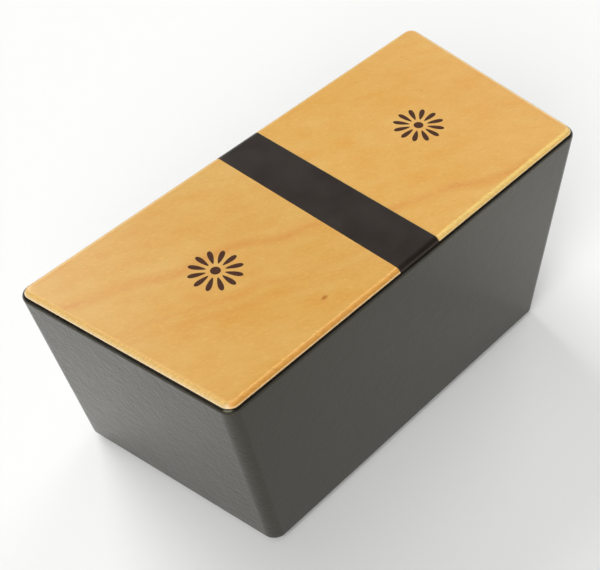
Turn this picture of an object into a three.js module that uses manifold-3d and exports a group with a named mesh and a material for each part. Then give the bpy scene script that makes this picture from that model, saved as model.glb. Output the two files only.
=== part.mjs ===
// Bongo cajon: a tapered wooden box drum with two striking plates, one for each air chamber.
// Millimetres, +Z up. The drum stands on its feet at Z = 0, with its length along X and its long side at +Y.

import * as THREE from 'three';
import { mergeVertices } from 'three/addons/utils/BufferGeometryUtils.js';
import Module from 'manifold-3d';

const wasm = await Module();
wasm.setup();

// Case: sizes over the outside, at the widest level, just under the rounded top edge of the walls
const longSide = 400; // length along the back
const shortSide = 352; // length along the front
const caseDepth = 178; // front to back
const caseHeight = 168; // bottom edge of the walls to the top of the plates
const endInset = 26; // how far each end leans in on its way down to the bottom edge
const cornerRadius = 10; // upright corners, in plan
const wallRounding = 3; // outer top edge of the walls
const wallThickness = 12;

// Top
const plateThickness = 3;
const plateInset = 1.6; // how far the plates and the band stay inside the walls
const plateRounding = 5; // rounding routed round their top edge
const bandWidth = 39; // black band between the plates
const railHeight = 12;
const plateLedge = 10; // seat for a plate's inner edge on each side of the band
const housingDepth = 5; // how deep the rail sits in the long walls

// Inside
const dividerThickness = 9;
const dadoDepth = 5; // how deep the divider sits in the long walls
const blockSize = 20; // glue blocks in the corners
const blockDrop = 4; // their tops stay this far under the plates

// Bottom
const bottomThickness = 6;
const rebateDepth = 6; // ledge cut in the walls for the bottom panel
const lowPortRadius = 22;
const highPortRadius = 28;

// Feet and their screws
const footHeight = 6;
const footRadius = 10; // at the panel
const footTaper = 1.5; // the foot is this much slimmer at the floor
const footEase = 1; // rounding at the floor
const footSeat = 3; // rubber left under the screw head
const screwRadius = 2;
const screwLength = 20; // under the head
const screwTip = 4;
const headRadius = 4;
const headHeight = 2.2;
const driveWidth = 1; // cross recess in the head
const driveLength = 4.4;
const driveDepth = 1;

// Fits
const glueLine = 0.3; // between glued faces that lean
const plateSeam = 0.3; // between a plate and the band
const fitClearance = 0.3; // round a board in its groove or ledge
const screwClearance = 0.3; // round a screw in its hole
const headClearance = 0.6; // round a screw head in its recess
const margin = 5; // how far cutting shapes reach past what they cut

// Smoothness
const cornerSteps = 3; // each corner arc gets twice as many
const roundingSteps = 4;
const turnSteps = 24;
const portSteps = 48;

// Levels
const caseBottom = footHeight;
const caseTop = caseBottom + caseHeight;
const wallTop = caseTop - plateThickness;
const widestLevel = wallTop - wallRounding;
const panelTop = caseBottom + bottomThickness;
const railBottom = wallTop - railHeight;
const blockTop = wallTop - blockDrop;
const footSeatLevel = footHeight - footSeat;

// The ends flare in plan and lean in towards the bottom
const flareRate = (longSide - shortSide) / (2 * caseDepth);
const leanRate = endInset / (widestLevel - caseBottom);
const flareAngle = Math.atan(flareRate);
const innerDepth = caseDepth - 2 * wallThickness;
const railWidth = bandWidth + 2 * plateLedge;

const cornerNames = [
  { name: 'front_left', sideX: -1, sideY: -1 },
  { name: 'front_right', sideX: 1, sideY: -1 },
  { name: 'back_right', sideX: 1, sideY: 1 },
  { name: 'back_left', sideX: -1, sideY: 1 },
];

const paint = { color: 0x2b2826, roughness: 0.4, metalness: 0 };
const honeyPly = { color: 0xe3b164, roughness: 0.35, metalness: 0 };
const rawPly = { color: 0xcda873, roughness: 0.8, metalness: 0 };
const rubber = { color: 0x1f1f1f, roughness: 0.85, metalness: 0 };
const steel = { color: 0x8b8b88, roughness: 0.4, metalness: 1 };

// Half the length of the case at the widest level, at a place from front to back
function halfLength(y) {
  return (longSide + shortSide) / 4 + y * flareRate;
}

// How far along X an end face moves when it moves square to itself
function alongX(distance) {
  return distance * Math.hypot(1, flareRate, leanRate);
}

// A corner of the case at the widest level, moved in from both walls; sides are -1 or 1
function corner(sideX, sideY, inset) {
  const y = sideY * (caseDepth / 2 - inset);
  return new THREE.Vector2(sideX * (halfLength(y) - alongX(inset)), y);
}

// The four corners, anticlockwise from above
function corners(inset) {
  return [corner(-1, -1, inset), corner(1, -1, inset), corner(1, 1, inset), corner(-1, 1, inset)];
}

// How far the lean has brought a point in towards the middle at a level
function leanAt(level) {
  return leanRate * (widestLevel - level);
}

// Leans a shape drawn at the widest level: its left half to the right and its right half to the left
function lean(geometry, stopLevel = Infinity) {
  const position = geometry.getAttribute('position');
  for (let i = 0; i < position.count; i += 1) {
    const x = position.getX(i);
    const level = Math.min(position.getZ(i), stopLevel);
    position.setX(i, x - Math.sign(x) * leanAt(level));
  }
  return geometry;
}

function solid(geometry) {
  const bare = geometry.clone();
  bare.deleteAttribute('normal');
  bare.deleteAttribute('uv');
  const merged = mergeVertices(bare, 1e-5);
  return new wasm.Manifold(new wasm.Mesh({
    numProp: 3,
    vertProperties: new Float32Array(merged.getAttribute('position').array),
    triVerts: new Uint32Array(merged.getIndex().array),
  }));
}

function box(low, high) {
  const size = new THREE.Vector3().subVectors(high, low);
  const middle = new THREE.Vector3().addVectors(low, high).multiplyScalar(0.5);
  const geometry = new THREE.BoxGeometry(size.x, size.y, size.z);
  return solid(geometry.translate(middle.x, middle.y, middle.z));
}

// A box across the middle of the case, the same to the left and right and to the front and back
function middleBox(width, depth, low, high) {
  return box(new THREE.Vector3(-width / 2, -depth / 2, low), new THREE.Vector3(width / 2, depth / 2, high));
}

function uprightCylinder(radius, x, y, low, high, steps) {
  const geometry = new THREE.CylinderGeometry(radius, radius, high - low, steps);
  geometry.rotateX(Math.PI / 2);
  return solid(geometry.translate(x, y, (low + high) / 2));
}

// A board cut to an outline at the widest level, leaning with the ends
function leaningBoard(points, low, high) {
  const geometry = new THREE.ExtrudeGeometry(new THREE.Shape(points), { depth: high - low, bevelEnabled: false });
  return solid(lean(geometry.translate(0, 0, low)));
}

// A block with the plan of the case, drawn in by inset: rounded upright corners, leaning ends, rounded top edge
function roundedBlank(inset, top, rounding) {
  const outline = new THREE.Shape();
  const turn = Math.PI / 2;
  const arcs = [
    { sideX: 1, sideY: -1, from: -turn, to: -flareAngle },
    { sideX: 1, sideY: 1, from: -flareAngle, to: turn },
    { sideX: -1, sideY: 1, from: turn, to: 2 * turn + flareAngle },
    { sideX: -1, sideY: -1, from: 2 * turn + flareAngle, to: 3 * turn },
  ];
  for (const { sideX, sideY, from, to } of arcs) {
    const y = sideY * (caseDepth / 2 - cornerRadius);
    const x = sideX * (halfLength(y) - cornerRadius * Math.hypot(1, flareRate));
    outline.absarc(x, y, cornerRadius - inset, from, to, false);
  }
  const depth = top - caseBottom;
  const geometry = new THREE.ExtrudeGeometry(outline, {
    depth,
    curveSegments: cornerSteps,
    bevelThickness: rounding,
    bevelSize: rounding,
    bevelOffset: -rounding,
    bevelSegments: roundingSteps,
  });
  geometry.translate(0, 0, top - rounding - depth);
  const blank = solid(lean(geometry, widestLevel));
  return blank.intersect(middleBox(2 * longSide, 2 * caseDepth, caseBottom, top + margin));
}

const wallBlank = roundedBlank(0, wallTop, wallRounding);
const topBlank = roundedBlank(plateInset, caseTop, plateRounding);

// What the walls are cut for: the bottom panel's ledge, the divider's grooves and the rail's seats
const ledge = leaningBoard(corners(wallThickness - rebateDepth), caseBottom - margin, panelTop);
const dado = middleBox(
  dividerThickness + 2 * fitClearance,
  innerDepth + 2 * dadoDepth,
  caseBottom - margin,
  railBottom + margin,
);
const housing = middleBox(
  railWidth + 2 * fitClearance,
  innerDepth + 2 * housingDepth,
  railBottom,
  wallTop + margin,
);

// A long wall, at the front (-1) or back (1), with mitred ends
function longWall(sideY) {
  const points = [
    corner(-1, sideY, -margin),
    corner(1, sideY, -margin),
    corner(1, sideY, wallThickness),
    corner(-1, sideY, wallThickness),
  ];
  for (const point of points) {
    point.x -= Math.sign(point.x) * glueLine;
  }
  const board = leaningBoard(points, caseBottom, wallTop);
  return board.intersect(wallBlank).subtract(ledge).subtract(dado).subtract(housing);
}

// An end wall, at the left (-1) or right (1), leaning and mitred to the long walls
function endWall(sideX) {
  const points = [
    corner(sideX, -1, -margin),
    corner(sideX, 1, -margin),
    corner(sideX, 1, wallThickness),
    corner(sideX, -1, wallThickness),
  ];
  return leaningBoard(points, caseBottom, wallTop).intersect(wallBlank).subtract(ledge);
}

// A slice of the top between two places along X
function topSlice(fromX, toX) {
  const low = new THREE.Vector3(fromX, -caseDepth, wallTop);
  const high = new THREE.Vector3(toX, caseDepth, caseTop + margin);
  return topBlank.intersect(box(low, high));
}

function plate(sideX) {
  const inner = bandWidth / 2 + plateSeam;
  return sideX < 0 ? topSlice(-longSide, -inner) : topSlice(inner, longSide);
}

// Outline of a glue block at the widest level: two sides lie along the walls
function blockOutline(sideX, sideY) {
  const inner = corner(sideX, sideY, wallThickness + glueLine);
  const alongWall = new THREE.Vector2(-sideX * blockSize, 0);
  const alongEnd = new THREE.Vector2(-sideX * sideY * flareRate * blockSize, -sideY * blockSize);
  return [
    inner,
    inner.clone().add(alongWall),
    inner.clone().add(alongWall).add(alongEnd),
    inner.clone().add(alongEnd),
  ];
}

// The feet stand under the middle of the glue blocks
function footPlace(sideX, sideY) {
  const [first, , opposite] = blockOutline(sideX, sideY);
  const middle = first.clone().add(opposite).multiplyScalar(0.5);
  middle.x -= sideX * leanAt(panelTop);
  return middle;
}

function screwHole(sideX, sideY) {
  const place = footPlace(sideX, sideY);
  const top = footSeatLevel + screwLength + screwClearance;
  return uprightCylinder(screwRadius + screwClearance, place.x, place.y, -margin, top, turnSteps);
}

function cornerBlock(sideX, sideY) {
  return leaningBoard(blockOutline(sideX, sideY), panelTop, blockTop).subtract(screwHole(sideX, sideY));
}

// Middle of a chamber's floor, from the divider to the end wall
function portPlace(sideX) {
  const endFace = halfLength(0) - alongX(wallThickness) - leanAt(panelTop);
  return sideX * (dividerThickness / 2 + endFace) / 2;
}

function bottomPanel() {
  const edge = wallThickness - rebateDepth + fitClearance;
  let panel = leaningBoard(corners(edge), caseBottom, panelTop);
  for (const [sideX, radius] of [[-1, lowPortRadius], [1, highPortRadius]]) {
    const low = caseBottom - margin;
    const high = panelTop + margin;
    panel = panel.subtract(uprightCylinder(radius, portPlace(sideX), 0, low, high, portSteps));
  }
  for (const { sideX, sideY } of cornerNames) {
    panel = panel.subtract(screwHole(sideX, sideY));
  }
  return panel;
}

function crossRail() {
  const length = innerDepth + 2 * (housingDepth - fitClearance);
  return middleBox(railWidth, length, railBottom, wallTop);
}

function divider() {
  const width = innerDepth + 2 * (dadoDepth - fitClearance);
  return middleBox(dividerThickness, width, panelTop, railBottom);
}

// Turned shapes stand on their own axis, with Z up
function turned(profile) {
  const geometry = new THREE.LatheGeometry(profile, turnSteps);
  return solid(geometry.rotateX(Math.PI / 2));
}

function rubberFoot() {
  const bore = screwRadius + screwClearance;
  const recess = headRadius + headClearance;
  const floorRadius = footRadius - footTaper;
  return turned([
    new THREE.Vector2(recess, 0),
    new THREE.Vector2(floorRadius - footEase, 0),
    new THREE.Vector2(floorRadius, footEase),
    new THREE.Vector2(footRadius, footHeight),
    new THREE.Vector2(bore, footHeight),
    new THREE.Vector2(bore, footSeatLevel),
    new THREE.Vector2(recess, footSeatLevel),
    new THREE.Vector2(recess, 0),
  ]);
}

function footScrew() {
  const headBottom = footSeatLevel - headHeight;
  const shankTop = footSeatLevel + screwLength;
  const body = turned([
    new THREE.Vector2(0, headBottom),
    new THREE.Vector2(headRadius - headHeight / 2, headBottom),
    new THREE.Vector2(headRadius, headBottom + headHeight / 2),
    new THREE.Vector2(headRadius, footSeatLevel),
    new THREE.Vector2(screwRadius, footSeatLevel),
    new THREE.Vector2(screwRadius, shankTop - screwTip),
    new THREE.Vector2(0, shankTop),
  ]);
  const recessTop = headBottom + driveDepth;
  const oneWay = middleBox(driveLength, driveWidth, headBottom - margin, recessTop);
  const otherWay = middleBox(driveWidth, driveLength, headBottom - margin, recessTop);
  return body.subtract(oneWay).subtract(otherWay);
}

function addPiece(parent, name, piece, finish) {
  const { vertProperties, triVerts } = piece.getMesh();
  const geometry = new THREE.BufferGeometry();
  geometry.setAttribute('position', new THREE.BufferAttribute(new Float32Array(vertProperties), 3));
  geometry.setIndex(new THREE.BufferAttribute(new Uint32Array(triVerts), 1));
  geometry.computeVertexNormals();
  const mesh = new THREE.Mesh(geometry, new THREE.MeshStandardMaterial({ ...finish, flatShading: true }));
  mesh.name = name;
  parent.add(mesh);
  return mesh;
}

const cajon = new THREE.Group();
addPiece(cajon, 'front_wall', longWall(-1), paint);
addPiece(cajon, 'back_wall', longWall(1), paint);
addPiece(cajon, 'left_end', endWall(-1), paint);
addPiece(cajon, 'right_end', endWall(1), paint);
addPiece(cajon, 'low_plate', plate(-1), honeyPly);
addPiece(cajon, 'high_plate', plate(1), honeyPly);
addPiece(cajon, 'bridge_cap', topSlice(-bandWidth / 2, bandWidth / 2), paint);
addPiece(cajon, 'cross_rail', crossRail(), rawPly);
addPiece(cajon, 'divider', divider(), rawPly);
addPiece(cajon, 'bottom_panel', bottomPanel(), paint);

for (const { name, sideX, sideY } of cornerNames) {
  addPiece(cajon, `corner_block_${name}`, cornerBlock(sideX, sideY), rawPly);
  const place = footPlace(sideX, sideY);
  const foot = new THREE.Group();
  foot.position.set(place.x, place.y, 0);
  addPiece(foot, `foot_${name}`, rubberFoot(), rubber);
  addPiece(foot, `foot_screw_${name}`, footScrew(), steel);
  cajon.add(foot);
}

export default cajon;
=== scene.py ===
# %% [markdown]
# # A bongo cajon
# This small box drum has a black case that is longer at the back than at the front, with ends that lean
# in to the bottom. Two thin striking plates lie on the walls, with a black band between them. The packed
# solids give the sizes and places. This lesson dresses them with rounder edges and with finishes that
# look like the real wood, paint, rubber and steel.

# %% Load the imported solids
import math

import bmesh
import bpy
from mathutils import Matrix, Quaternion, Vector


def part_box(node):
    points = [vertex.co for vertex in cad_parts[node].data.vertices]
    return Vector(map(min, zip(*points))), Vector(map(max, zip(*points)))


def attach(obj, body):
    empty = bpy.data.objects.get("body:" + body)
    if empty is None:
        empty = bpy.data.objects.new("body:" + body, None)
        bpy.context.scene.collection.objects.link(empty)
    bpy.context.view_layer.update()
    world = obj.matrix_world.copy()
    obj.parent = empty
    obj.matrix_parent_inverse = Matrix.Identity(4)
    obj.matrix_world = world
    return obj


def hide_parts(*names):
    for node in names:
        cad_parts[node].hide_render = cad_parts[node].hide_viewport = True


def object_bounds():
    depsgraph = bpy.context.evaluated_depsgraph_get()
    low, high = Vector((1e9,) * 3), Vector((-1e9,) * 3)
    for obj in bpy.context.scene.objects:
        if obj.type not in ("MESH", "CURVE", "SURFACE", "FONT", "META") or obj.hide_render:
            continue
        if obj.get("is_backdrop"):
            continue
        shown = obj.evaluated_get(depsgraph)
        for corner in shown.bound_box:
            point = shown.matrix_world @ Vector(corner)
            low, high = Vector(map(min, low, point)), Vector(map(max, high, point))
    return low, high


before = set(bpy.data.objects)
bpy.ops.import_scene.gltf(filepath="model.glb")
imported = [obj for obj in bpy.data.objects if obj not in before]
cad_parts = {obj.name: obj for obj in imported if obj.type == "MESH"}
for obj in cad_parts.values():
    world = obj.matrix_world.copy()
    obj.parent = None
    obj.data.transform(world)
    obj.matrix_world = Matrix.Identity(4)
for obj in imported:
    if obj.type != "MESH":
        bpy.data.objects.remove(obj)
cad_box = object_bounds()
print("solids:", len(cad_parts), "highest point:", round(cad_box[1].z, 4), "m")

# %% [markdown]
# ## Sizes
# Levels and edges that a solid shows by its box are read from the solids. The slopes of the ends can't be
# read from a box, so the few lengths that they come from are written here once more. Everything is in
# metres, and a length in millimetres is written times mm.

# %% Levels and driving sizes
mm = 0.001
case_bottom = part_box("front_wall")[0].z
panel_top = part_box("bottom_panel")[1].z
wall_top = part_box("front_wall")[1].z
case_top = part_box("low_plate")[1].z
case_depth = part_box("back_wall")[1].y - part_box("front_wall")[0].y
band_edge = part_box("bridge_cap")[1].x
plate_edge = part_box("high_plate")[0].x

long_side = 400 * mm
short_side = 352 * mm
end_inset = 26 * mm
wall_thickness = 12 * mm
wall_rounding = 3 * mm
plate_rounding = 5 * mm
plate_inset = 1.6 * mm  # the plates and the band stay this far inside the walls
corner_radius = 10 * mm
skin = 0.1 * mm  # rounder corners stay inside the solids' box when the shape is drawn this much smaller

widest_level = wall_top - wall_rounding
flare_rate = (long_side - short_side) / (2 * case_depth)
lean_rate = end_inset / (widest_level - case_bottom)
print("walls from", round(case_bottom, 4), "to", round(wall_top, 4), "m, ends lean", round(lean_rate, 3))

# %% [markdown]
# ## Camera
# The photograph looks down on one corner with a moderately long lens. The place and the lens were fitted
# to the straight edges of the drum. A camera is aimed by turning its own -Z axis along the view, and a
# small turn about that axis then tilts the picture as the photograph is tilted.

# %% Make the camera
camera_place = Vector((-456.12, -443.09, 736.02)) * mm
camera_aim = Vector((-44.18, -17.62, 131.5)) * mm
camera_tilt = math.radians(-3.222)

camera = bpy.data.objects.new("camera", bpy.data.cameras.new("camera"))
camera.data.sensor_width = 36
camera.data.lens = 73.535
camera.rotation_mode = "QUATERNION"
camera.location = camera_place
aimed = (camera_aim - camera_place).to_track_quat("-Z", "Y")
camera.rotation_quaternion = aimed @ Quaternion((0, 0, 1), camera_tilt)
bpy.context.scene.collection.objects.link(camera)
bpy.context.scene.camera = camera
print("camera", round((camera_aim - camera_place).length, 3), "m from its aim")

# %% [markdown]
# ## Tools for finishes
# A finish is a tree of nodes. One function writes colours: a hex value is what a screen shows, and shaders
# count in linear light. One function adds a node, sets it up and feeds its sockets. A socket is linked,
# and any other value is simply set. Every finish starts from Object coordinates in millimetres, so that a
# pattern can be given its real size.

# %% Colour and node helpers


def linear(hex_colour):
    """Turns an sRGB hex value such as #2a2725 into linear RGBA."""
    parts = [int(hex_colour[i:i + 2], 16) / 255 for i in (1, 3, 5)]
    return (*[p / 12.92 if p <= 0.04045 else ((p + 0.055) / 1.055) ** 2.4 for p in parts], 1)


def add(tree, kind, feeds=None, stops=(), **settings):
    """Adds a node. Feeds go to its inputs by name or number, and stops are the marks of a colour ramp."""
    node = tree.nodes.new("ShaderNode" + kind)
    for name, value in settings.items():
        setattr(node, name, value)
    for key, value in (feeds or {}).items():
        if isinstance(value, bpy.types.NodeSocket):
            tree.links.new(value, node.inputs[key])
        else:
            node.inputs[key].default_value = value
    for i, (position, colour) in enumerate(stops):
        marks = node.color_ramp.elements
        mark = marks[i] if i < 2 else marks.new(position)
        mark.position = position
        mark.color = colour
    return node


def new_finish(name):
    """Starts an empty material and gives it with its node tree and the place in millimetres."""
    material = bpy.data.materials.new(name)
    material.use_nodes = True
    tree = material.node_tree
    tree.nodes.clear()
    place = add(tree, "TexCoord").outputs["Object"]
    scaled = add(tree, "VectorMath", {0: place, "Scale": 1 / mm}, operation="SCALE")
    return material, tree, scaled.outputs["Vector"]


print("helpers ready, for example #2a2725 is", [round(c, 4) for c in linear("#2a2725")])

# %% [markdown]
# ## Satin black paint
# The case is plywood sprayed with a satin black paint. It isn't a flat black: the upright walls mirror the
# pale floor softly and turn grey, while faces that look up stay dark. The spray leaves a skin of grit and
# drops, which is greyer where it is thick, and under it the board is slightly wavy. The ends are coarser
# than the long walls. The skin could be modelled, but noise at three real sizes gives the same look with
# no extra faces. The band is the same paint, rubbed down, and the underside is sprayed thin and dry, so
# it is matt.

# %% Paint for the case, the band and the underside
grit_size, drop_size, wave_size = 2.2, 6, 18  # millimetres
drop_share, wave_share = 0.6, 0.25
long_wall_share = 0.3  # of the unevenness on the ends
gloss_drift = 0.03
noise_low, noise_high = 0.3, 0.7  # noise seldom leaves this range


def satin_paint(name, dark, light, sheen, roughness, skin_depth):
    """The skin goes from dark to light with its height. Sheen is the hue of its gloss."""
    material, tree, place = new_finish(name)
    grit = add(tree, "TexNoise", {"Vector": place, "Scale": 1 / grit_size, "Detail": 2}).outputs["Fac"]
    drops = add(tree, "TexNoise", {"Vector": place, "Scale": 1 / drop_size, "Detail": 3}).outputs["Fac"]
    waves = add(tree, "TexNoise", {"Vector": place, "Scale": 1 / wave_size, "Detail": 2}).outputs["Fac"]
    pebbles = add(tree, "Mix", {0: drop_share, 2: grit, 3: drops}).outputs[0]
    uneven = add(tree, "Mix", {0: wave_share, 2: pebbles, 3: waves}).outputs[0]

    # How far a face looks along the drum decides how much of the unevenness it keeps
    facing = add(tree, "SeparateXYZ", {0: add(tree, "TexCoord").outputs["Normal"]}).outputs["X"]
    endwards = add(tree, "Math", {0: facing}, operation="ABSOLUTE").outputs[0]
    share = add(tree, "MapRange", {0: endwards, 1: 0.2, 2: 0.9, 3: long_wall_share, 4: 1}).outputs[0]
    offset = add(tree, "Math", {0: uneven, 1: 0.5}, operation="SUBTRACT").outputs[0]
    height = add(tree, "Math", {0: offset, 1: share, 2: 0.5}, operation="MULTIPLY_ADD").outputs[0]

    tones = ((0.4, linear(dark)), (0.6, linear(light)))
    colour = add(tree, "ValToRGB", {0: height}, tones).outputs[0]
    gloss = add(tree, "MapRange", {
        0: waves, 1: noise_low, 2: noise_high, 3: roughness - gloss_drift, 4: roughness + gloss_drift,
    }).outputs[0]
    bump = add(tree, "Bump", {"Strength": 1, "Distance": skin_depth, "Height": height}).outputs[0]
    paint = add(tree, "BsdfPrincipled", {
        "Base Color": colour, "Roughness": gloss, "IOR": 1.5, "Specular Tint": linear(sheen),
        "Normal": bump,
    }).outputs[0]
    add(tree, "OutputMaterial", {"Surface": paint})
    return material


case_paint = satin_paint(
    "satin black spray paint, pebbled", "#191613", "#28241f", "#f8f6d6", 0.2, 0.6 * mm)
band_paint = satin_paint(
    "satin black spray paint, rubbed", "#1c1612", "#2a231e", "#fff1e8", 0.35, 0.05 * mm)
bottom_paint = satin_paint(
    "thin black spray paint, matt", "#201e1c", "#312d2a", "#ffffff", 0.6, 0.1 * mm)
print("paints:", case_paint.name, "|", band_paint.name, "|", bottom_paint.name)

# %% [markdown]
# ## Lacquered birch plywood
# A plate is three veneers of birch under a honey-toned clear lacquer. The face is nearly even: soft clouds
# and mottles, fine fibres and short flecks. The grain lies askew on the plates, as on offcuts. A picture of
# a veneer could be laid on, but noise that is drawn out with the grain has no seams and a real size. The
# real fibres are too fine to show, so they are drawn about 1 mm wide.

# %% Figure of the veneer
grain_turn = math.radians(22)
figure_sizes = (("clouds", 120, 50, 2), ("mottles", 17, 9, 4), ("fibres", 4, 1.1, 3))
fleck_cell = (16, 6, 40)  # millimetres along the grain, across it and down


def veneer_figure(tree, grain):
    """Noise drawn out with the grain, by its length and width in millimetres and its detail."""
    figure = {}
    for label, length, width, detail in figure_sizes:
        drawn = add(tree, "Mapping", {"Vector": grain, "Scale": (1 / length, 1 / width, 1 / width)})
        noise = add(tree, "TexNoise", {"Vector": drawn.outputs[0], "Scale": 1, "Detail": detail})
        figure[label] = noise.outputs["Fac"]
    return figure


def honey_face(tree, grain, figure, deep, pale):
    """The face of the veneer in two tones, with fibres and flecks."""
    tone = add(tree, "Mix", {0: 0.5, 2: figure["clouds"], 3: figure["mottles"]}).outputs[0]
    honey = add(tree, "ValToRGB", {0: tone}, ((0.34, linear(deep)), (0.66, linear(pale)))).outputs[0]
    thread = add(tree, "MapRange", {
        0: figure["fibres"], 1: noise_low, 2: noise_high, 3: 0.965, 4: 1.035,
    }).outputs[0]
    wood = add(tree, "VectorMath", {0: honey, "Scale": thread}, operation="SCALE").outputs[0]

    # Short flecks, one in some of the cells of a stretched mosaic
    mosaic = add(tree, "Mapping", {"Vector": grain, "Scale": [1 / size for size in fleck_cell]}).outputs[0]
    cells = add(tree, "TexVoronoi", {"Vector": mosaic, "Scale": 1}).outputs
    chosen = add(tree, "MapRange", {0: cells["Color"], 1: 0.55, 2: 0.75, 3: 0, 4: 0.3}).outputs[0]
    fleck = add(tree, "MapRange", {0: cells["Distance"], 1: 0.03, 2: 0.14, 3: 1, 4: 0}).outputs[0]
    fleck_depth = add(tree, "Math", {0: fleck, 1: chosen}, operation="MULTIPLY").outputs[0]
    flecked = add(tree, "Mix", {0: fleck_depth, 6: wood, 7: linear("#a9682c")}, data_type="RGBA")
    return flecked.outputs[2]


print("grain askew by", round(math.degrees(grain_turn)), "degrees, figure of", len(figure_sizes), "sizes")

# %% [markdown]
# ## Streaks and pin knots
# Mineral streaks run through birch as faint reddish bands, and a pin knot is the brown trace of a twig. The
# streaks could be painted by hand. Here a colour ramp across the grain holds them, slow noise bends them,
# and the mottles fade them in and out. A knot is a soft dot, drawn out along the drum.

# %% Streaks and knots on the face
streak_reach = 150  # millimetres to each side of the middle that the streaks are given for
streak_bend = 24  # millimetres that a streak wanders across the grain
bend_length, bend_width = 60, 90  # millimetres
knot_stretch = (0.65, 1.15, 1)
knot_core = 0.3  # the share of a knot's radius that has its full strength


def streak_stops(streaks):
    """Ramp marks for streaks, each its place across the grain, half width and strength."""
    stops = []
    none = linear("#000000")
    for middle, half_width, strength in sorted(streaks):
        full = (strength, strength, strength, 1)
        for offset, colour in ((-half_width, none), (0, full), (half_width, none)):
            stops.append(((middle + offset + streak_reach) / (2 * streak_reach), colour))
    return stops


def streaked(tree, grain, figure, wood, streaks):
    wander = add(tree, "Mapping", {
        "Vector": grain, "Scale": (1 / bend_length, 1 / bend_width, 1 / bend_width),
    }).outputs[0]
    bend = add(tree, "TexNoise", {"Vector": wander, "Scale": 1, "Detail": 1}).outputs["Fac"]
    across = add(tree, "SeparateXYZ", {0: grain}).outputs["Y"]
    bent = add(tree, "Math", {0: bend, 1: streak_bend, 2: across}, operation="MULTIPLY_ADD").outputs[0]
    middle = streak_bend / 2
    along_ramp = add(tree, "MapRange", {0: bent, 1: middle - streak_reach, 2: middle + streak_reach})
    streak = add(tree, "ValToRGB", {0: along_ramp.outputs[0]}, streak_stops(streaks)).outputs[0]
    fade = add(tree, "MapRange", {0: figure["mottles"], 1: 0.35, 2: 0.7, 3: 0.18, 4: 0.7}).outputs[0]
    depth = add(tree, "Math", {0: streak, 1: fade}, operation="MULTIPLY").outputs[0]
    return add(tree, "Mix", {0: depth, 6: wood, 7: linear("#d07f2c")}, data_type="RGBA").outputs[2]


def knotted(tree, place, wood, middle, radius, strength):
    away = add(tree, "VectorMath", {0: place, 1: middle}, operation="SUBTRACT").outputs[0]
    drawn = add(tree, "VectorMath", {0: away, 1: knot_stretch}, operation="MULTIPLY").outputs[0]
    distance = add(tree, "VectorMath", {0: drawn}, operation="LENGTH").outputs["Value"]
    knot = add(tree, "MapRange", {
        0: distance, 1: knot_core * radius, 2: radius, 3: strength, 4: 0,
    }).outputs[0]
    return add(tree, "Mix", {0: knot, 6: wood, 7: linear("#b06c1c")}, data_type="RGBA").outputs[2]


print("one streak takes", len(streak_stops([(0, 5, 1)])), "marks on the ramp")

# %% [markdown]
# ## Edges of the plates
# The rounded edge is cut through the veneers, so the depth below the top picks the tone. The front edges and
# the left end, which face the key light, are paler: partly the core, which shows its end grain on some edges
# and its side grain on others, and partly painted highlight and sheen, with a painted glint just below the
# top. The back edges and the right end keep the tone of the lacquer. Edges could have materials of their
# own, but then the line between face and edge would be too sharp. Here the way that an edge faces picks its
# row of tones, and the fibres fray the line.

# %% Tones of the edges
# Near the top, the front rows hold a painted glint on the arris. The front rows and the low plate's end row
# are paler partly from painted highlight and sheen and partly from the veneers. The row without highlight is
# the lacquer's own tone.
end_grain_and_painted_highlight = (
    (0.06, "#f6c472"), (0.1, "#f3bb69"), (0.14, "#f1b460"), (0.22, "#eda955"), (0.36, "#e5a753"),
    (0.55, "#da9a41"), (0.75, "#eeba77"), (1, "#f9d69e"),
)
low_sides_and_painted_highlight = ((0.05, "#dcab57"), (0.2, "#daae5f"), (0.5, "#ddba79"), (0.75, "#e1bf8c"), (1, "#efd7ac"))
high_sides_and_painted_highlight = (
    (0.05, "#ecc169"), (0.12, "#ffd47c"), (0.2, "#ffdc87"), (0.36, "#fcd27c"), (0.55, "#f4cc74"),
    (0.75, "#f2c77c"), (1, "#f8da9f"),
)
edges_without_painted_highlight = ((0.05, "#dcb86e"), (0.2, "#d8ad64"), (0.4, "#d3a45a"), (1, "#e0bd88"))
edge_starts, edge_full = 0.08, 0.11  # depths between which the face gives way to the edge
fray = 0.08  # how far the fibres shift that line
turn_blend = 0.05  # how far one row runs into the next round a corner


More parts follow.
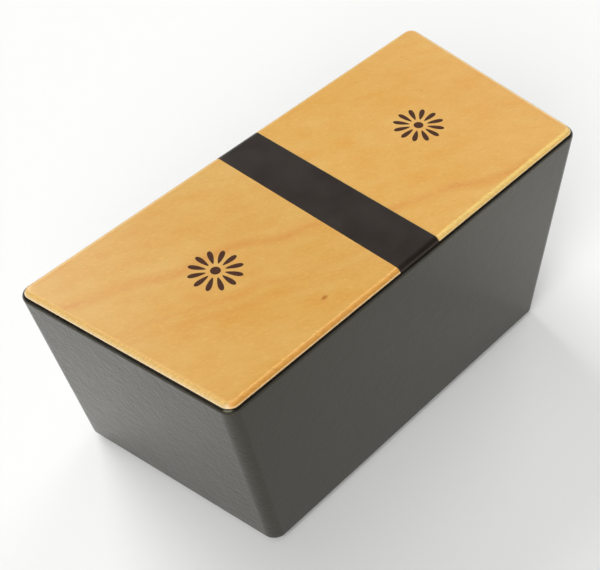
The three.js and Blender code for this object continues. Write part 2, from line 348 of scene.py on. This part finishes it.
def edged(tree, place, figure, face, rows):
    """Rows are for the front, the end and the back, each of depths from 0 at the top to 1 and colours."""
    level = add(tree, "SeparateXYZ", {0: place}).outputs["Z"]
    depth = add(tree, "MapRange", {0: level, 1: case_top / mm, 2: wall_top / mm}).outputs[0]
    fronts, ends, backs = (
        add(tree, "ValToRGB", {0: depth}, [(d, linear(c)) for d, c in row]).outputs[0] for row in rows)

    # Facing picks the row, so the edges towards the key light get the rows with painted highlight.
    normal = add(tree, "TexCoord").outputs["Normal"]
    backwards = add(tree, "SeparateXYZ", {0: normal}).outputs["Y"]
    back_shows = add(tree, "MapRange", {0: backwards, 1: -turn_blend, 2: turn_blend}).outputs[0]
    sides = add(tree, "Mix", {0: back_shows, 6: fronts, 7: backs}, data_type="RGBA").outputs[2]
    facing = add(tree, "VectorMath", {0: normal}, operation="ABSOLUTE").outputs[0]
    endwards = add(tree, "VectorMath", {0: facing, 1: (1, -1, 0)}, operation="DOT_PRODUCT").outputs["Value"]
    end_shows = add(tree, "MapRange", {0: endwards, 1: -turn_blend, 2: turn_blend}).outputs[0]
    edge = add(tree, "Mix", {0: end_shows, 6: sides, 7: ends}, data_type="RGBA").outputs[2]

    ragged = add(tree, "MapRange", {
        0: figure["fibres"], 1: noise_low, 2: noise_high, 3: 0.86, 4: 1.12,
    }).outputs[0]
    threaded = add(tree, "VectorMath", {0: edge, "Scale": ragged}, operation="SCALE").outputs[0]
    frayed_depth = add(tree, "Math", {0: figure["fibres"], 1: fray, 2: depth}, operation="MULTIPLY_ADD").outputs[0]
    cut = add(tree, "MapRange", {0: frayed_depth, 1: edge_starts, 2: edge_full}).outputs[0]
    return add(tree, "Mix", {0: cut, 6: face, 7: threaded}, data_type="RGBA").outputs[2]


print("tones on the edges:", [len(row) for row in (end_grain_and_painted_highlight, low_sides_and_painted_highlight, high_sides_and_painted_highlight, edges_without_painted_highlight)])

# %% [markdown]
# ## The two woods
# Both plates come from the same kind of sheet, but no two veneers are alike, so each plate gets its own
# tones, streaks and knot. The lacquer is satin, a little glossier in some clouds than in others, and the
# fibres stand up under it by a hundredth of a millimetre.

# %% Wood for the plates
fibre_height = 0.01 * mm


def lacquered_birch(name, tones, streaks, knot, edges):
    """Tones are a deep and a pale one. A knot is its place and radius in millimetres and its strength."""
    material, tree, place = new_finish(name)
    grain = add(tree, "Mapping", {"Vector": place, "Rotation": (0, 0, grain_turn)}).outputs[0]
    figure = veneer_figure(tree, grain)
    face = honey_face(tree, grain, figure, *tones)
    face = streaked(tree, grain, figure, face, streaks)
    face = knotted(tree, place, face, *knot)
    colour = edged(tree, place, figure, face, edges)
    gloss = add(tree, "MapRange", {
        0: figure["clouds"], 1: noise_low, 2: noise_high, 3: 0.3, 4: 0.38,
    }).outputs[0]
    bump = add(tree, "Bump", {"Strength": 1, "Distance": fibre_height, "Height": figure["fibres"]})
    lacquer = add(tree, "BsdfPrincipled", {
        "Base Color": colour, "Roughness": gloss, "IOR": 1.5, "Normal": bump.outputs[0],
    }).outputs[0]
    add(tree, "OutputMaterial", {"Surface": lacquer})
    return material


# The front rows, and the end row of the low plate, carry painted highlight on the edges that face the key
# light.
low_wood = lacquered_birch(
    "lacquered birch plywood, low plate", ("#d79c46", "#dbad5c"),
    ((-22, 7, 0.9), (-60, 4, 0.5), (-71, 4, 0.4)), ((-71, -66.8, 174), 2.3, 0.9),
    (end_grain_and_painted_highlight, low_sides_and_painted_highlight, edges_without_painted_highlight))
high_wood = lacquered_birch(
    "lacquered birch plywood, high plate", ("#dda048", "#e1b15f"),
    ((-34, 7, 0.9), (-52, 3, 0.3)), ((136.6, 26, 174), 1.5, 0.35),
    (high_sides_and_painted_highlight, edges_without_painted_highlight, edges_without_painted_highlight))
print("woods:", low_wood.name, "|", high_wood.name)

# %% [markdown]
# ## Raw wood, rubber, steel and stain
# Inside, nothing is finished: the plywood is bare and dull, and the glue blocks are sawn pine with its
# stripes of growth rings. The feet are moulded rubber with a slight bloom, the screws are zinc-plated
# steel, bright but worn uneven by the driver, and the marks on the plates are a dull brown stain.
# Stretched noise is enough for rings that are seen only through the ports, and fine specks keep the other
# finishes from looking flat.

# %% Finishes for the inside, the feet, the screws and the marks
ring_length = 60  # millimetres
ring_height = 0.06 * mm
speck_height = 0.02 * mm


def bare_wood(name, pale, deep, ring_width):
    material, tree, place = new_finish(name)
    stretched = add(tree, "Mapping", {
        "Vector": place, "Scale": (1 / ring_width, 1 / ring_width, 1 / ring_length),
    }).outputs[0]
    rings = add(tree, "TexNoise", {
        "Vector": stretched, "Scale": 1, "Detail": 4, "Distortion": 0.4,
    }).outputs["Fac"]
    colour = add(tree, "ValToRGB", {0: rings}, ((0.35, linear(deep)), (0.65, linear(pale)))).outputs[0]
    bump = add(tree, "Bump", {"Strength": 1, "Distance": ring_height, "Height": rings}).outputs[0]
    wood = add(tree, "BsdfPrincipled", {"Base Color": colour, "Roughness": 0.75, "Normal": bump}).outputs[0]
    add(tree, "OutputMaterial", {"Surface": wood})
    return material


def grainy(name, dark, light, grain, settings):
    """A finish of one substance with a fine grain. Settings are for its shader."""
    material, tree, place = new_finish(name)
    specks = add(tree, "TexNoise", {"Vector": place, "Scale": 1 / grain, "Detail": 3}).outputs["Fac"]
    colour = add(tree, "ValToRGB", {0: specks}, ((0.35, linear(dark)), (0.65, linear(light)))).outputs[0]
    bump = add(tree, "Bump", {"Strength": 1, "Distance": speck_height, "Height": specks}).outputs[0]
    body = add(tree, "BsdfPrincipled", {"Base Color": colour, "Normal": bump, **settings}).outputs[0]
    add(tree, "OutputMaterial", {"Surface": body})
    return material


raw_ply = bare_wood("bare birch plywood", "#d2b07c", "#bf9862", 2.5)
pine = bare_wood("sawn pine", "#dcb980", "#b98a4c", 4)
rubber = grainy("moulded black rubber", "#1b1b1b", "#262625", 0.8, {"Roughness": 0.75})
zinc = grainy("zinc-plated steel", "#8f8f8a", "#b4b4ae", 1.5, {"Roughness": 0.35, "Metallic": 1})
stain = grainy(
    "brown burnt stain", "#3d2113", "#4f2c1a", 1.2, {"Roughness": 0.6, "Specular IOR Level": 0.15})
print("finishes:", ", ".join(m.name for m in (raw_ply, pine, rubber, zinc, stain)))

# %% [markdown]
# ## Blocks with the plan of the case
# The case is a box whose corners are moved: the back is longer than the front, and the ends lean in. It
# could be drawn as a curve and extruded, but a cube with eight moved corners keeps the lean of the ends,
# and bevels then round the edges in the same mesh. The same block, drawn in, gives the hollow and the
# bottom panel.

# %% Block and bevel


def half_length(y, inset, level):
    """Half the length of the case at y and at a level, moved in square to the end by inset."""
    at_widest = (long_side + short_side) / 4 + y * flare_rate
    return at_widest - inset * math.hypot(1, flare_rate, lean_rate) - lean_rate * (widest_level - level)


def tapered_block(inset, low, high):
    """A block with the plan and the lean of the case, moved in from the outside by inset."""
    bm = bmesh.new()
    bmesh.ops.create_cube(bm, size=1)
    for v in bm.verts:
        level = high if v.co.z > 0 else low
        y = math.copysign(case_depth / 2 - inset, v.co.y)
        v.co = (math.copysign(half_length(y, inset, level), v.co.x), y, level)
    bm.normal_update()
    return bm


def bevel(bm, edges, width, steps):
    bmesh.ops.bevel(
        bm, geom=edges, offset=width, offset_type="OFFSET", segments=steps, profile=0.5, affect="EDGES",
        material=-1)


def edges_between(bm, low, high):
    """The edges that lie wholly between two levels."""
    slack = 0.01 * mm
    return [e for e in bm.edges if all(low - slack <= v.co.z <= high + slack for v in e.verts)]


print("half the length at the front edge:", round(half_length(-case_depth / 2, 0, widest_level), 4), "m")

# %% [markdown]
# ## Two blanks
# The walls and the top are rounded in two passes of the router, so there are two blanks. The walls get a
# small rounding. The plates and the band are trimmed together, a little inside the walls, and get a larger
# one, and the step between the two shows as a dark line round the drum. Pieces that are sawn from one blank
# line up without fitting.

# %% Round the blanks
corner_steps = 10
rounding_steps = 10
foot_edge = 0.8 * mm  # the lower edge of the walls is only broken with sandpaper
hair = 0.1 * mm  # a margin too small to see


def rounded_blank(inset, top, rounding):
    """A block with the plan of the case, drawn in by inset, with upright corners and top edge rounded."""
    bm = tapered_block(inset, case_bottom, widest_level)
    rim_height = top - widest_level
    lid = [f for f in bm.faces if f.normal.z > 0.9]
    risen = bmesh.ops.extrude_face_region(bm, geom=lid)["geom"]
    lifted = [g for g in risen if isinstance(g, bmesh.types.BMVert)]
    bmesh.ops.translate(bm, verts=lifted, vec=(0, 0, rim_height))
    flare = math.atan(flare_rate)
    for side_y, corner_angle in ((-1, math.pi / 2 + flare), (1, math.pi / 2 - flare)):
        upright = [
            e for e in bm.edges
            if abs(e.verts[0].co.z - e.verts[1].co.z) > mm and e.verts[0].co.y * side_y > 0
        ]
        bevel(bm, upright, (corner_radius - inset) / math.tan(corner_angle / 2), corner_steps)
    bevel(bm, edges_between(bm, top, top), min(rounding, rim_height - hair), rounding_steps)
    bevel(bm, edges_between(bm, case_bottom, case_bottom), foot_edge, steps=3)
    return bm


def wall_blank():
    return rounded_blank(skin, wall_top, wall_rounding)


def top_blank():
    return rounded_blank(plate_inset, case_top - skin, plate_rounding)


for label, blank in (("walls", wall_blank()), ("top", top_blank())):
    closed = all(e.is_manifold for e in blank.edges)
    print("blank of the", label, "has", len(blank.faces), "faces, closed:", closed)
    blank.free()

# %% [markdown]
# ## Sawing
# On the bench, the plates would be sawn to length before they are glued. Here a plane cut takes a piece off
# a blank, and the open cut is closed with one face. A Boolean would do it too, but a plane cut leaves the
# other faces as they are.

# %% Saw along a plane
weld = 0.001 * mm  # points closer than this are one


def saw(bm, place, keep):
    """Saws along a plane through place, keeps the side that keep points to and closes the cut."""
    everything = bm.verts[:] + bm.edges[:] + bm.faces[:]
    cut = bmesh.ops.bisect_plane(
        bm, geom=everything, dist=weld, plane_co=place, plane_no=keep, clear_inner=True)
    loop = [g for g in cut["geom_cut"] if isinstance(g, bmesh.types.BMEdge)]
    return bmesh.ops.edgeloop_fill(bm, edges=loop)["faces"]


slab = top_blank()
cut_faces = saw(slab, (0, 0, wall_top), (0, 0, 1))
print("the top above the walls has", len(slab.faces), "faces, with", len(cut_faces), "on its cut")
slab.free()

# %% [markdown]
# ## Carving and finishing a piece
# Grooves, ledges and ports are carved with Boolean modifiers, which are exact on flat boards. A finished
# piece gets its normals turned outwards, smooth shading with sharp edges kept, and a modifier that lets
# the flat faces stay flat next to small roundings. Then it rides on the drum's body and stands for the
# solids that it dresses.

# %% Carve and finish
sharp_from = math.radians(35)


def as_object(name, bm):
    mesh = bpy.data.meshes.new(name)
    bm.to_mesh(mesh)
    bm.free()
    made = bpy.data.objects.new(name, mesh)
    bpy.context.scene.collection.objects.link(made)
    return made


def carve(bm, cutters):
    """Takes closed shapes away from a shape and gives back what is left."""
    body = as_object("carved blank", bm)
    tools = [as_object("cutter", cutter) for cutter in cutters]
    for tool in tools:
        cut = body.modifiers.new("cut", "BOOLEAN")
        cut.operation = "DIFFERENCE"
        cut.solver = "EXACT"
        cut.object = tool
    left = bmesh.new()
    left.from_object(body, bpy.context.evaluated_depsgraph_get())
    for used in [body, *tools]:
        bpy.data.objects.remove(used)
    return left


def finish_piece(name, bm, materials, replaced):
    bmesh.ops.recalc_face_normals(bm, faces=bm.faces)
    closed = all(e.is_manifold for e in bm.edges)
    for face in bm.faces:
        face.smooth = True
    made = as_object(name, bm)
    for material in materials:
        made.data.materials.append(material)
    made.data.set_sharp_from_angle(angle=sharp_from)
    made.modifiers.new("flat faces stay flat", "WEIGHTED_NORMAL").keep_sharp = True
    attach(made, "root")
    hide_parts(*replaced)
    print(name, "has", len(made.data.polygons), "faces, closed:", closed)


print("edges stay sharp from", round(math.degrees(sharp_from)), "degrees")

# %% [markdown]
# ## The painted case
# Four boards are mitred, glued and then sprayed, so the paint hides the joints and the eye sees one shell.
# Four boards could be modelled, but their mitres would show as lines in the paint. So the blank of the
# walls is hollowed in one piece: the air space, the ledge for the bottom panel, the grooves of the divider
# and the seats of the rail. The paint stays outside, and the inside keeps its bare wood.

# %% Hollow the case
reach = 5 * mm  # how far a cutting shape stands past what it cuts
fit = 0.3 * mm
ledge_depth = 6 * mm
paint_depth = 5 * mm  # less than the ledge, more than the rounded corners take off


def box_between(low, high):
    """A box from its lowest to its highest corner."""
    bm = bmesh.new()
    bmesh.ops.create_cube(bm, size=1)
    low, high = Vector(low), Vector(high)
    bmesh.ops.scale(bm, verts=bm.verts, vec=high - low)
    bmesh.ops.translate(bm, verts=bm.verts, vec=(low + high) / 2)
    bm.normal_update()
    return bm


def groove(node, above):
    """A box round a board of the solids, with its fit, open towards the top or the bottom."""
    low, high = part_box(node)
    around = Vector((fit, fit, 0))
    up, down = (reach, 0) if above else (0, reach)
    return box_between(low - around - Vector((0, 0, down)), high + around + Vector((0, 0, up)))


def painted_case():
    bm = carve(wall_blank(), [
        tapered_block(wall_thickness, case_bottom - reach, wall_top + reach),
        tapered_block(wall_thickness - ledge_depth, case_bottom - reach, panel_top),
        groove("divider", above=False),
        groove("cross_rail", above=True),
    ])
    for face in bm.faces:
        x, y, z = face.calc_center_median()
        walled = abs(y) < case_depth / 2 - paint_depth and abs(x) < half_length(y, paint_depth, z)
        face.material_index = int(walled and panel_top - hair < z < wall_top - mm)
    return bm


finish_piece(
    "painted_case", painted_case(), [case_paint, raw_ply],
    ["front_wall", "back_wall", "left_end", "right_end"])

# %% [markdown]
# ## Striking plates and band
# The plates and the band are sawn from the blank of the top, above the walls. A plate's edge along the band
# is eased a little with sandpaper, which leaves the fine dark line between wood and paint that the
# photograph shows. A painted line would be quicker, but it would vanish in light from the side.

# %% Saw the plates and the band
seam_ease = 0.35 * mm


def top_slice(cuts):
    """What the blank holds above the walls. A cut is its place along X and the side that is kept."""
    bm = top_blank()
    saw(bm, (0, 0, wall_top), (0, 0, 1))
    for place, keep in cuts:
        face = saw(bm, (place, 0, 0), (keep, 0, 0))[0]
        seam = [e for e in face.edges if max(v.co.z for v in e.verts) > wall_top + hair]
        bevel(bm, seam, seam_ease, steps=3)
    return bm


finish_piece(
    "low_striking_plate", top_slice([(-plate_edge, -1)]), [low_wood], ["low_plate"])
finish_piece(
    "high_striking_plate", top_slice([(plate_edge, 1)]), [high_wood], ["high_plate"])
finish_piece(
    "black_band", top_slice([(-band_edge, 1), (band_edge, -1)]), [band_paint],
    ["bridge_cap"])

# %% [markdown]
# ## Strike marks
# Each plate has a small stained mark where the fingers should land: a rosette of leaves round a dot. One
# leaf starts as a circle, is drawn out and tapered, and a spin that duplicates it makes the ring of leaves.
# A pattern in the wood's material could do the same, but a shape keeps its outline crisp at any distance.
# The stain is a film that lies on the lacquer, so it is extruded by less than the thickness of paper.

# %% Stain the rosettes
leaf_count = 12
leaf_inner, leaf_outer = 6.5 * mm, 19 * mm
leaf_half_width = 2.6 * mm
leaf_swell = 0.3  # how much wider the outer end is than the middle
dot_radius = 3.6 * mm
film = 0.06 * mm
mark_places = {"low_strike_mark": (-100.1 * mm, 3 * mm), "high_strike_mark": (102.8 * mm, 0.3 * mm)}


def rosette(place):
    bm = bmesh.new()
    bmesh.ops.create_circle(bm, cap_ends=True, segments=24, radius=1)
    for v in bm.verts:
        v.co.y *= leaf_half_width * (1 - leaf_swell + leaf_swell * v.co.x)
        v.co.x = (leaf_inner + leaf_outer) / 2 + v.co.x * (leaf_outer - leaf_inner) / 2
    bmesh.ops.spin(
        bm, geom=bm.verts[:] + bm.edges[:] + bm.faces[:], cent=(0, 0, 0), axis=(0, 0, 1),
        angle=2 * math.pi * (leaf_count - 1) / leaf_count, steps=leaf_count - 1, use_duplicate=True)
    bmesh.ops.create_circle(bm, cap_ends=True, segments=32, radius=dot_radius)
    raised = bmesh.ops.extrude_face_region(bm, geom=bm.faces[:], use_keep_orig=True)["geom"]
    lifted = [g for g in raised if isinstance(g, bmesh.types.BMVert)]
    bmesh.ops.translate(bm, verts=lifted, vec=(0, 0, film))
    bmesh.ops.translate(bm, verts=bm.verts, vec=place)
    return bm


for name, (x, y) in mark_places.items():
    finish_piece(name, rosette(Vector((x, y, case_top - skin))), [stain], [])

# %% [markdown]
# ## Rail, divider and glue blocks
# Under the band lies a rail that carries the inner edges of both plates, and under the rail a divider parts
# the air into two chambers. Both are plain boards, seen only through the ports, so a box with broken edges
# is enough. The glue blocks in the corners have the right shape already. They stay as they are and only get
# their wood.

# %% Make the inner boards
broken_edge = 0.4 * mm


def board(node):
    bm = box_between(*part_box(node))
    bevel(bm, bm.edges[:], broken_edge, steps=2)
    return bm


finish_piece("plate_rail", board("cross_rail"), [raw_ply], ["cross_rail"])
finish_piece("chamber_divider", board("divider"), [raw_ply], ["divider"])
blocks = [node for name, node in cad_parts.items() if name.startswith("corner_block")]
for block in blocks:
    block.material_slots[0].material = pine
print("glue blocks of", pine.name + ":", len(blocks))

# %% [markdown]
# ## Bottom panel
# The panel lies in the ledge of the walls, with one round sound port for each chamber. A router has rounded
# the outer edge of each port, because fingers go in there to carry the drum. The ports are carved with rods,
# and their rims are found by radius and bevelled.

# %% Cut the panel and its ports
port_rounding = 2 * mm
port_steps = 96
port_middle = (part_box("divider")[1].x + half_length(0, wall_thickness, panel_top)) / 2
ports = ((-port_middle, 22 * mm), (port_middle, 28 * mm))
near = 0.05 * mm  # how well a point must fit a radius


def upright_rod(x, radius, low, high):
    bm = bmesh.new()
    bmesh.ops.create_cone(
        bm, cap_ends=True, segments=port_steps, radius1=radius, radius2=radius, depth=high - low)
    bmesh.ops.translate(bm, verts=bm.verts, vec=(x, 0, (low + high) / 2))
    return bm


def bottom_panel():
    bm = tapered_block(wall_thickness - ledge_depth + fit, case_bottom, panel_top)
    bm = carve(bm, [
        upright_rod(x, radius, case_bottom - reach, panel_top + reach) for x, radius in ports
    ])
    low_edges = edges_between(bm, case_bottom, case_bottom)
    for x, radius in ports:
        rim = [
            e for e in low_edges
            if e.is_valid and all(abs(math.hypot(v.co.x - x, v.co.y) - radius) < near for v in e.verts)
        ]
        bevel(bm, rim, port_rounding, steps=5)
    return bm


finish_piece(
    "bottom_panel_with_ports", bottom_panel(), [bottom_paint], ["bottom_panel"])

# %% [markdown]
# ## Feet
# A foot is a moulded ring with a recess for its screw's head. It could be stacked from cylinders, but a
# profile of a few points, spun once round the upright axis, gives taper, bore and recess in one closed
# mesh. The edges are rounded after the spin, as a bevel of the round edges.

# %% Spin the feet
turn_steps = 48
screw_radius = 2 * mm
head_radius = 4 * mm
seat_level = 3 * mm  # where the screw's head presses on the rubber
foot_radius, floor_radius = 10 * mm, 8.5 * mm
foot_rounding, recess_rounding = 1.2 * mm, 0.5 * mm
corner_names = ("front_left", "front_right", "back_right", "back_left")


def turned(profile, closed):
    """Spins a profile of radius and level once round Z."""
    bm = bmesh.new()
    points = [bm.verts.new((radius, 0, level)) for radius, level in profile]
    ends = points[1:] + points[:1] if closed else points[1:]
    lines = [bm.edges.new(pair) for pair in zip(points, ends)]
    bmesh.ops.spin(
        bm, geom=points + lines, cent=(0, 0, 0), axis=(0, 0, 1), angle=2 * math.pi, steps=turn_steps,
        use_merge=True)
    bmesh.ops.remove_doubles(bm, verts=bm.verts, dist=weld)
    bmesh.ops.recalc_face_normals(bm, faces=bm.faces)
    return bm


def round_edge(bm, radius, level, width):
    """Rounds the round edge at a radius and a level."""
    ring = [
        e for e in edges_between(bm, level, level)
        if all(abs(v.co.xy.length - radius) < near for v in e.verts)
    ]
    bevel(bm, ring, width, steps=4)


def foot(place):
    bore, recess = screw_radius + fit, head_radius + 2 * fit
    bm = turned([
        (recess, 0), (floor_radius, 0), (foot_radius, case_bottom), (bore, case_bottom), (bore, seat_level),
        (recess, seat_level),
    ], closed=True)
    round_edge(bm, floor_radius, 0, foot_rounding)
    round_edge(bm, recess, 0, recess_rounding)
    bmesh.ops.translate(bm, verts=bm.verts, vec=place)
    return bm


def foot_place(corner):
    low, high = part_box("foot_" + corner)
    return Vector(((low.x + high.x) / 2, (low.y + high.y) / 2, 0))


for corner in corner_names:
    finish_piece(
        "rubber_foot_" + corner, foot(foot_place(corner)), [rubber], ["foot_" + corner])

# %% [markdown]
# ## Screws
# A screw with a rounded head and a cross recess holds each foot. Its thread is hidden in the glue block, so
# a spun shank with a point is enough. Two flat boxes carve the cross.

# %% Spin the screws
head_height = 2.2 * mm
head_rounding = 1.3 * mm
tip_length = 4 * mm
cross_half = Vector((2.2 * mm, 0.5 * mm, 1 * mm))


def screw(place, shank_top):
    head_bottom = seat_level - head_height
    bm = turned([
        (0, head_bottom), (head_radius, head_bottom), (head_radius, seat_level), (screw_radius, seat_level),
        (screw_radius, shank_top - tip_length), (0, shank_top),
    ], closed=False)
    round_edge(bm, head_radius, head_bottom, head_rounding)
    crosses = []
    for turn in (0, math.pi / 2):
        cross = box_between(-cross_half, cross_half)
        bmesh.ops.rotate(cross, verts=cross.verts, cent=(0, 0, 0), matrix=Matrix.Rotation(turn, 3, "Z"))
        bmesh.ops.translate(cross, verts=cross.verts, vec=(0, 0, head_bottom))
        crosses.append(cross)
    bm = carve(bm, crosses)
    bmesh.ops.translate(bm, verts=bm.verts, vec=place)
    return bm


for corner in corner_names:
    shank_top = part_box("foot_screw_" + corner)[1].z
    finish_piece(
        "steel_screw_" + corner, screw(foot_place(corner), shank_top), [zinc],
        ["foot_screw_" + corner])

# %% [markdown]
# ## Floor and light
# A pale, matt floor carries the drum. Wide, soft lights do the work: a key light over the camera's left
# shoulder, which reaches the rounded edges that the camera sees, one from above, one from behind and a low
# one from the side, which the band and the lacquer mirror softly. Area lamps would do as well, but a sun
# lamp with a wide angle is as soft and lights every place alike. Together they light a level face so that
# its colour renders about as it is written.

# %% Make the floor and the lights
floor_half = 15  # metres
softboxes = (  # turn, rise and width in degrees, and strength
    ("key_softbox", 210, 40, 50, 2.42),
    ("top_softbox", 120, 78, 50, 0.59),
    ("back_softbox", 82, 35, 35, 1.7),
    ("side_softbox", 20, 20, 35, 0.65),
)

floor_mesh = bmesh.new()
bmesh.ops.create_grid(floor_mesh, x_segments=1, y_segments=1, size=floor_half)
floor = as_object("floor", floor_mesh)
floor_paper, paper_tree = new_finish("matt white paper")[:2]
paper = add(paper_tree, "BsdfDiffuse", {"Color": linear("#f6f6f5")}).outputs[0]
add(paper_tree, "OutputMaterial", {"Surface": paper})
floor.data.materials.append(floor_paper)
floor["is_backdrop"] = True

for name, turn, rise, width, strength in softboxes:
    lamp = bpy.data.lights.new(name, "SUN")
    lamp.angle = math.radians(width)
    lamp.energy = strength
    carrier = bpy.data.objects.new(name, lamp)
    turned_by, raised_by = math.radians(turn), math.radians(rise)
    towards = Vector((
        math.cos(raised_by) * math.cos(turned_by),
        math.cos(raised_by) * math.sin(turned_by),
        math.sin(raised_by),
    ))
    carrier.rotation_mode = "QUATERNION"
    carrier.rotation_quaternion = towards.to_track_quat("Z", "Y")
    bpy.context.scene.collection.objects.link(carrier)
    print(name, "stands", rise, "degrees up")

# %% [markdown]
# ## Studio
# The studio is dim, so the paint stays dark where it mirrors the room. Low round the floor stands a white
# screen, which a camera near the floor sees and glossy faces mirror. A real wall would stand in the way of
# the low lights, so the world draws the screen, only for rays from the camera and for mirrored ones, and
# it adds no light to the drum.

# %% Make the studio
dim_room = 0.01
screen_top, screen_end = (math.sin(math.radians(rise)) for rise in (10, 15))  # between them it fades

world = bpy.data.worlds.new("dim studio with a white screen")
world.use_nodes = True
room = world.node_tree
room.nodes.clear()
rays = add(room, "LightPath").outputs
mirrored = add(room, "Math", {
    0: rays["Is Glossy Ray"], 1: rays["Is Transmission Ray"],
}, operation="MAXIMUM").outputs[0]
seen = add(room, "Math", {0: rays["Is Camera Ray"], 1: mirrored}, operation="MAXIMUM").outputs[0]
rise_of_ray = add(room, "SeparateXYZ", {0: add(room, "TexCoord").outputs["Generated"]}).outputs["Z"]
screen = add(room, "MapRange", {0: rise_of_ray, 1: screen_top, 2: screen_end, 3: 1, 4: dim_room}).outputs[0]
brightness = add(room, "Mix", {0: seen, 2: dim_room, 3: screen}).outputs[0]
glow = add(room, "Background", {"Color": linear("#ffffff"), "Strength": brightness}).outputs[0]
add(room, "OutputWorld", {"Surface": glow})
bpy.context.scene.world = world
bpy.context.scene.view_settings.view_transform = "Standard"
print("screen fades out at", round(math.degrees(math.asin(screen_end))), "degrees up")

# %% [markdown]
# ## Measure the dressed drum
# The dressed drum may not be bigger than its solids, so both boxes are written down before the frame is
# checked.

# %% Write the sizes and finish
shown_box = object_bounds()
for label, (low, high) in (("solids", cad_box), ("dressed", shown_box)):
    print(label, [round(c / mm, 2) for c in low], [round(c / mm, 2) for c in high])
